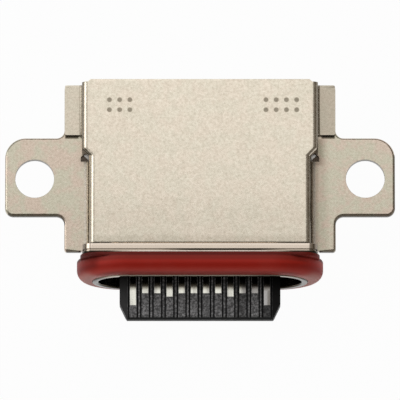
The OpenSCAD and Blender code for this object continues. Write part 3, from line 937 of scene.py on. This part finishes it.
@dataclass
class Bracket:
    """Stamped bracket: two ears with screw holes, rails and a trough bent down under the socket."""

    sheet: float = 0.3
    bend: float = 0.03
    bend_out: float = 0.2
    bend_shape: float = 0.7
    trough_x: float = 4.57
    trough_front: float = -3.02
    trough_rear: float = 0.72
    rail_x: float = 5.58
    rail_r: float = 0.12
    ear_front: float = -1.57
    ear_rear: float = 1.71
    ear_front_r: float = 0.35
    ear_rear_r: float = 0.85
    fillet: float = 0.33
    relief_r: float = 0.13
    screw_x: float = 6.8
    screw_r: float = 0.8
    roll_r: float = 0.11
    edge_r: float = 0.03
    past: float = 0.5
    lap: float = 0.05

    def __post_init__(self) -> None:
        """Takes the outer sizes from the frame."""
        self.box = Extent.of("mounting_bracket")
        self.flat_x = self.trough_x + self.bend + self.sheet

    def blank(self) -> Workpiece:
        """Models the right ear and rail.

        Returns:
            The flat blank.
        """
        t, box = self.sheet, self.box
        notch_rear = self.trough_rear + 2 * self.relief_r
        lap_x = self.flat_x + self.lap
        rail = Workpiece.block("rail", (self.flat_x, box.low.y, 0), (self.rail_x, box.high.y, t))
        upright = along(2)
        rail.round_edges(lambda e: upright(e) and near(e.verts[0].co.x, self.rail_x), self.rail_r, steps=6)
        wide = Workpiece.block("wide_rail", (self.trough_x, notch_rear, 0), (lap_x, box.high.y, t))
        ear = Workpiece.block("ear", (lap_x, self.ear_front, 0), (box.high.x, self.ear_rear, t))
        at_end = sits_at(x=box.high.x)
        ear.round_edges(lambda e: upright(e) and at_end(e) and e.verts[0].co.y > 0, self.ear_rear_r, steps=20)
        ear.round_edges(lambda e: upright(e) and at_end(e) and near(e.verts[0].co.y, self.ear_front),
                        self.ear_front_r, steps=12)
        rail.combine(wide, Join.FUSE)
        rail.combine(ear, Join.FUSE)
        corners = [(self.rail_x, self.ear_front, self.fillet), (self.rail_x, self.ear_rear, self.fillet),
                   (self.flat_x, notch_rear, self.relief_r)]
        for x, y, radius in corners:
            rail.round_edges(all_of(upright, sits_at(x=x, y=y)), radius, steps=12)
        return rail

    def trough(self) -> Workpiece:
        """Models the folded sheet under the socket.

        Returns:
            The trough with a short flange on each side.
        """
        floor = self.box.low.z + self.sheet
        piece = Workpiece.block("trough", (-self.trough_x, self.trough_front, floor),
                                (self.trough_x, self.trough_rear, floor))
        lengthwise = along(1)
        piece.draw_out(all_of(lengthwise, sits_at(ax=self.trough_x)), (0, 0, self.sheet - floor))
        for side in (-1, 1):
            piece.draw_out(all_of(lengthwise, sits_at(x=side * self.trough_x, z=self.sheet)),
                           (side * (self.flat_x + self.lap - self.trough_x), 0, 0))
        piece.round_edges(all_of(lengthwise, sits_at(ax=self.trough_x, z=floor)), self.bend, steps=6)
        piece.face_up()
        piece.thicken(self.sheet)
        shoulder = all_of(lengthwise, sits_at(ax=self.trough_x, z=self.sheet))
        piece.round_edges(shoulder, self.bend_out, steps=14, profile=self.bend_shape)
        return piece

    def build(self, finish: SatinSheet) -> None:
        """Joins the blanks to the trough, rounds the stamped edges and dresses the piece.

        Args:
            finish: Finish of the sheet.
        """
        piece = self.blank()
        piece.apply("MIRROR", use_axis=(True, False, False), use_clip=False, use_mirror_merge=False)
        trough = self.trough()
        for sheet in (piece, trough):
            sheet.level(0.0, self.sheet)
        piece.combine(trough, Join.FUSE)
        outer = all_of(sharp, sits_at(z=self.sheet),
                       lambda e: max(abs(v.co.x) for v in e.verts) > self.flat_x + TOUCH)
        piece.round_edges(outer, self.roll_r, steps=5)
        for x in (-self.screw_x, self.screw_x):
            hole = Workpiece.rod("hole", (x, 0, self.sheet / 2), self.screw_r, self.sheet + 2 * self.past)
            piece.combine(hole, Join.CUT)
        piece.soften(self.edge_r, steps=1)
        piece.obj.name = "bracket"
        piece.settle(finish.make(), "bracket_steel", "mounting_bracket")


@dataclass
class Cover:
    """Folded cover: a top plate, front skirts in the trough, a jog and two feet at the rear."""

    sheet: float = 0.2
    fold_r: float = 0.24
    half_w: float = 4.55
    jog_w: float = 0.3
    jog_front: float = 0.72
    jog_rear: float = 1.02
    corner_cut: float = 0.1
    foot_front: float = 1.79
    foot_rear: float = 3.88
    foot_r: float = 0.1
    foot_top: float = 0.5
    foot_corner: float = 0.07
    stub_top: float = 0.65
    wall_low: float = 0.32
    hold: float = 0.06
    reach: float = 0.02
    edge_r: float = 0.02

    def __post_init__(self) -> None:
        """Takes the outer sizes from the frame."""
        self.box = Extent.of("shield_cover")
        self.front = self.box.low.y - self.reach
        self.wide_w = self.half_w + self.jog_w
        self.wall_rear = self.box.high.y - self.corner_cut

    def plate(self) -> Workpiece:
        """Draws out the top plate, which widens at the jog.

        Returns:
            The plate as an open sheet.
        """
        top, front, hold = self.box.high.z, self.front, self.hold
        piece = Workpiece.block("cover", (-self.half_w, front, top), (self.half_w, front + hold, top))
        stations = [front + hold, self.jog_front - hold, self.jog_front, self.jog_rear, self.jog_rear + hold,
                    self.foot_front, self.wall_rear - hold, self.wall_rear]
        for start, end in zip(stations, stations[1:]):
            piece.draw_out(sits_at(y=start), (0, end - start, 0))
            if near(end, self.jog_rear):
                for side in (-1, 1):
                    piece.nudge(lambda v: near(v.co.y, end) and v.co.x * side > 0, (side * self.jog_w, 0, 0))
        return piece

    def beside(self, z: float, front: float, rear: float) -> EdgeTest:
        """Makes a test for lengthwise edges of the sides.

        Args:
            z: Height of the edges.
            front: Lowest Y of their middles.
            rear: Highest Y of their middles.

        Returns:
            The test.
        """
        def test(edge: Edge) -> bool:
            """Tells whether an edge is one of them.

            Args:
                edge: The edge.

            Returns:
                Whether it is.
            """
            a, b = (v.co for v in edge.verts)
            outside = min(abs(a.x), abs(b.x)) > self.half_w - TOUCH and near(a.z, z) and near(b.z, z)
            return outside and abs(a.y - b.y) > TOUCH and front - TOUCH < (a.y + b.y) / 2 < rear + TOUCH

        return test

    def fold_sides(self, piece: Workpiece) -> None:
        """Folds the sides down and turns the feet out.

        Args:
            piece: The top plate.
        """
        low, high = self.box.low, self.box.high
        levels = [high.z, self.stub_top, self.foot_top]
        for start, end in zip(levels, levels[1:]):
            piece.draw_out(self.beside(start, self.front, self.wall_rear), (0, 0, end - start))
        stub = all_of(sits_at(y=self.wall_rear), along(2),
                      lambda e: max(v.co.z for v in e.verts) < self.stub_top + TOUCH)
        piece.draw_out(stub, (0, self.foot_rear - self.wall_rear, 0))
        drops = [(self.foot_top, self.foot_front, self.wall_low), (self.wall_low, self.jog_front, low.z)]
        for start, rear, end in drops:
            piece.draw_out(self.beside(start, self.front, rear - STEP), (0, 0, end - start))
        foot = self.beside(self.foot_top, self.foot_front + STEP, self.foot_rear)
        for side in (-1, 1):
            piece.draw_out(lambda e: foot(e) and e.verts[0].co.x * side > 0,
                           (side * (high.x - self.wide_w), 0, 0))
        piece.round_edges(self.beside(high.z, self.front, self.wall_rear), self.fold_r, steps=8)
        piece.round_edges(all_of(foot, sits_at(ax=self.wide_w, z=self.foot_top)), self.foot_r, steps=6)

    def build(self, finish: SatinSheet) -> None:
        """Folds the plate, draws out its rear tab, thickens the sheet and dresses the piece.

        Args:
            finish: Finish of the sheet.
        """
        top, rear = self.box.high.z, self.box.high.y
        piece = self.plate()
        self.fold_sides(piece)
        piece.draw_out(sits_at(y=self.wall_rear, z=top), (0, self.corner_cut, 0))
        for side in (-1, 1):
            piece.nudge(lambda v: near(v.co.y, rear) and v.co.x * side > 0, (-side * self.corner_cut, 0, 0))
        piece.face_up()
        piece.thicken(self.sheet)
        for y in (self.foot_front, self.foot_rear):
            piece.round_edges(all_of(along(2), sits_at(ax=self.box.high.x, y=y)), self.foot_corner, steps=6)
        piece.soften(self.edge_r, steps=2)
        piece.settle(finish.make(), "cover_steel", "shield_cover")


@dataclass
class Shell:
    """Drawn shell: nose, collar and sleeve round the plug opening."""

    mouth_w: float = 4.17
    mouth_h: float = 1.28
    nose_wall: float = 0.25
    sleeve_wall: float = 0.16
    collar_front: float = -3.40
    collar_rear: float = -3.02
    collar_r: float = 0.4
    collar_edge: float = 0.03
    collar_steps: int = 10
    mouth_bevel: float = 0.06
    rim_r: float = 0.04
    groove_y: float = -3.275
    groove_w: float = 0.07
    groove_d: float = 0.05

    def __post_init__(self) -> None:
        """Takes the outer sizes from the frame."""
        self.box = Extent.of("front_shell")

    def groove_ring(self) -> Workpiece:
        """Models the ring that cuts the fine groove round the collar.

        Returns:
            The ring.
        """
        wide, tall = self.box.high.x, self.box.high.z
        front, rear = self.groove_y - self.groove_w / 2, self.groove_y + self.groove_w / 2
        past, depth, steps = self.rim_r, self.groove_d, self.collar_steps
        ring = Workpiece.oval("ring", wide + past, tall + past, self.collar_r, front, rear, steps)
        core = Workpiece.oval("core", wide - depth, tall - depth, self.collar_r - depth,
                              front - past, rear + past, steps)
        ring.combine(core, Join.CUT)
        return ring

    def bounds_mouth(self, edge: Edge) -> bool:
        """Tells whether an edge lies no further out than the wall of the mouth."""
        middle_x, limit = self.mouth_w - self.mouth_h, self.mouth_h + TOUCH
        return all(math.hypot(max(abs(v.co.x) - middle_x, 0), v.co.z) < limit for v in edge.verts)

    def build(self, finish: PolishedSteel) -> None:
        """Fuses nose, collar and sleeve, bores the opening and dresses the piece.

        Args:
            finish: Finish of the steel.
        """
        box = self.box
        nose_w, nose_h = self.mouth_w + self.nose_wall, self.mouth_h + self.nose_wall
        sleeve_w, sleeve_h = self.mouth_w + self.sleeve_wall, self.mouth_h + self.sleeve_wall
        middle = (self.collar_front + self.collar_rear) / 2
        piece = Workpiece.oval("shell", box.high.x, box.high.z, self.collar_r,
                               self.collar_front, self.collar_rear, self.collar_steps)
        for y, radius in ((self.collar_front, self.collar_edge), (self.collar_rear, self.collar_edge / 2)):
            piece.round_edges(sits_at(y=y), radius, steps=5)
        piece.combine(self.groove_ring(), Join.CUT)
        nose = Workpiece.oval("nose", nose_w, nose_h, nose_h, box.low.y, middle)
        nose.round_edges(sits_at(y=box.low.y), self.rim_r, steps=3)
        sleeve = Workpiece.oval("sleeve", sleeve_w, sleeve_h, sleeve_h, middle, box.high.y)
        piece.combine(nose, Join.FUSE)
        piece.combine(sleeve, Join.FUSE)
        past = self.nose_wall
        bore = Workpiece.oval("bore", self.mouth_w, self.mouth_h, self.mouth_h,
                              box.low.y - past, box.high.y + past)
        piece.combine(bore, Join.CUT)
        piece.round_edges(all_of(sits_at(y=box.low.y), self.bounds_mouth), self.mouth_bevel, steps=4)
        piece.settle(finish.make(), "shell_steel", "front_shell")


@dataclass
class Seal:
    """Silicone ring: a back flange against the collar and a round lip that hugs the nose."""

    nose_w: float = 4.44
    nose_h: float = 1.55
    flange_t: float = 0.14
    flange_w: float = 4.91
    flange_h: float = 2.02
    flange_r: float = 0.8
    front_r: float = 0.45
    back_r: float = 0.1
    edge_r: float = 0.03
    lip_steps: int = 24
    flange_steps: int = 10
    past: float = 1.0

    def __post_init__(self) -> None:
        """Takes the outer sizes from the frame."""
        self.box = Extent.of("seal_ring")

    def build(self, finish: Silicone) -> None:
        """Models the lip and the flange, bores them for the nose and dresses the ring.

        Args:
            finish: Finish of the silicone.
        """
        box = self.box
        lip_h = box.high.z
        piece = Workpiece.oval("seal", box.high.x, lip_h, lip_h, box.low.y, box.high.y, self.lip_steps)
        piece.round_edges(sits_at(y=box.low.y), self.front_r, steps=8)
        piece.round_edges(sits_at(y=box.high.y), self.back_r, steps=4)
        flange = Workpiece.oval("flange", self.flange_w, self.flange_h, self.flange_r,
                                box.high.y - self.flange_t, box.high.y, self.flange_steps)
        flange.round_edges(lambda e: not along(1)(e), self.edge_r, steps=2)
        piece.combine(flange, Join.FUSE)
        bore = Workpiece.oval("bore", self.nose_w, self.nose_h, self.nose_h,
                              box.low.y - self.past, box.high.y + self.past, self.lip_steps)
        piece.combine(bore, Join.CUT)
        piece.settle(finish.make(), "seal_silicone", "seal_ring")


class InnerParts:
    """Moulding, contacts and inner plates, which keep their solids and get their finishes."""

    def dress(self) -> None:
        """Gives each node its finish."""
        finishes = {
            "insulator_plastic": TONGUE_PLASTIC.make(),
            "sealant_resin": SEALANT_RESIN.make(),
            "plate_steel": PLATE_STEEL.make(),
            "contact_plating": CONTACT_PLATING.make(),
        }
        for part in frame["record"]["subparts"]:
            material = finishes.get(part["material_slot"])
            if material is None:
                continue
            node = frame["nodes"][part["node"]]
            node.data.materials.clear()
            node.data.materials.append(material)
            LOG.info("%s: dressed", part["node"])


@dataclass
class Studio:
    """Pale floor, soft light from above and the left, and a long lens at the photograph's angle."""

    elevation: float = 78.5
    aim: Triple = (0.0, -0.836, 0.0)
    picture_mm: float = 16.46
    lens: float = 1000.0
    sensor: float = 36.0
    floor_size: float = 400.0
    pale: Colour = (0.8, 0.8, 0.8)
    shadow: Colour = (0.22, 0.18, 0.15)
    glow: float = 0.97
    warm: Colour = (1.0, 0.85, 0.66)
    white: Colour = (1.0, 1.0, 1.0)

    def floor(self) -> None:
        """Lays a pale floor that shows white and keeps a soft shadow, with a painted shadow colour under the
        body.
        """
        clear_bench()
        lowest = CAD_BOX[0][2]
        bpy.ops.mesh.primitive_plane_add(size=self.floor_size * MM, location=(0, 0, lowest))
        floor = bpy.context.active_object
        floor.name = "floor"
        material, g = new_material("pale_floor")
        seen, glossy, through = (g.node("ShaderNodeLightPath", output=f"Is {kind} Ray")
                                 for kind in ("Camera", "Glossy", "Transmission"))
        seen = seen.most(glossy).most(through)
        x, y, _ = g.split(g.place())
        # Under the body the floor shows no white and is painted a dark shadow colour: painted shadow
        under = abs(x).ramp(4.9, 5.4, 1.0, 0.0) * abs(y - 1.1).ramp(1.3, 2.1, 1.0, 0.0)
        seen = seen * (1.0 - under)
        matt_with_painted_light = g.node("ShaderNodeBsdfDiffuse", None, {"Color": g.blend(under, self.pale, self.shadow)})
        white = g.node("ShaderNodeEmission", None, {"Color": (*self.white, 1.0), "Strength": 1.0})
        both = g.node("ShaderNodeMixShader", None, {0: seen * self.glow, 1: matt_with_painted_light, 2: white})
        g.node("ShaderNodeOutputMaterial", None, {"Surface": both})
        floor.data.materials.append(material)

    def sky(self) -> None:
        """Sets a soft dome, bright above and to the left, with a pale band low in front."""
        world = bpy.data.worlds.new("dome")
        world.use_nodes = True
        bpy.context.scene.world = world
        g = Graph(world.node_tree)
        x, y, z = g.split(g.node("ShaderNodeTexCoord", output="Generated"))
        height = z.ramp(0.0, 0.95, 0.2, 0.6)
        left = (x * -1.0).ramp(-0.7, 0.7, 0.42, 1.1)
        rear = y.ramp(-0.6, 0.15, 0.12, 1.0)
        band = z.ramp(0.3, 0.7, 0.4, 0.0) * y.ramp(-0.3, 0.0, 1.0, 0.0)
        level = (height * left * rear).most(band)
        tint = g.blend(level.ramp(0.05, 0.4), self.warm, self.white)
        dome = g.node("ShaderNodeBackground", None, {"Color": tint, "Strength": level})
        g.node("ShaderNodeOutputWorld", None, {"Surface": dome})

    def lamp(self, name: str, place: Triple, size: float, level: float) -> None:
        """Hangs a soft lamp that faces the part.

        Args:
            name: Name of the lamp.
            place: Where it hangs, in millimetres.
            size: Side of its square face, in millimetres.
            level: Brightness of its face, where 1 shows as white.
        """
        data = bpy.data.lights.new(name, "AREA")
        data.size = size * MM
        data.energy = level * math.pi * data.size ** 2
        lamp = bpy.data.objects.new(name, data)
        bpy.context.scene.collection.objects.link(lamp)
        lamp.location = Vector(place) * MM
        lamp.rotation_euler = (-lamp.location).to_track_quat("-Z", "Y").to_euler()
        lamp.visible_camera = False

    def camera(self) -> None:
        """Sets the camera at the photograph's angle."""
        data = bpy.data.cameras.new("camera")
        data.lens = self.lens
        data.sensor_width = self.sensor
        distance = self.picture_mm * self.lens / self.sensor
        tilt = math.radians(self.elevation)
        back = Vector((0.0, -math.cos(tilt), math.sin(tilt)))
        camera = bpy.data.objects.new("camera", data)
        bpy.context.scene.collection.objects.link(camera)
        camera.location = (Vector(self.aim) + back * distance) * MM
        camera.rotation_euler = (-back).to_track_quat("-Z", "Y").to_euler()
        data.clip_start = distance * MM / 10
        data.clip_end = distance * MM * 10
        bpy.context.scene.camera = camera

    def build(self) -> None:
        """Sets up floor, dome, lamps and camera."""
        self.floor()
        self.sky()
        self.lamp("overhead", place=(1.0, 34.0, 62.0), size=60.0, level=0.75)
        self.lamp("left", place=(-74.0, 17.0, 52.0), size=54.0, level=1.65)
        self.camera()
        bpy.context.scene.view_settings.view_transform = "Standard"


def main() -> None:
    """Builds the pieces in order and sets the stage."""
    logging.basicConfig(level=logging.INFO, format="%(message)s")
    Studio().build()
    Bracket().build(BRACKET_SHEET)
    Cover().build(COVER_SHEET)
    Shell().build(SHELL_STEEL)
    Seal().build(SEAL_SILICONE)
    InnerParts().dress()


if __name__ == "__main__":
    main()
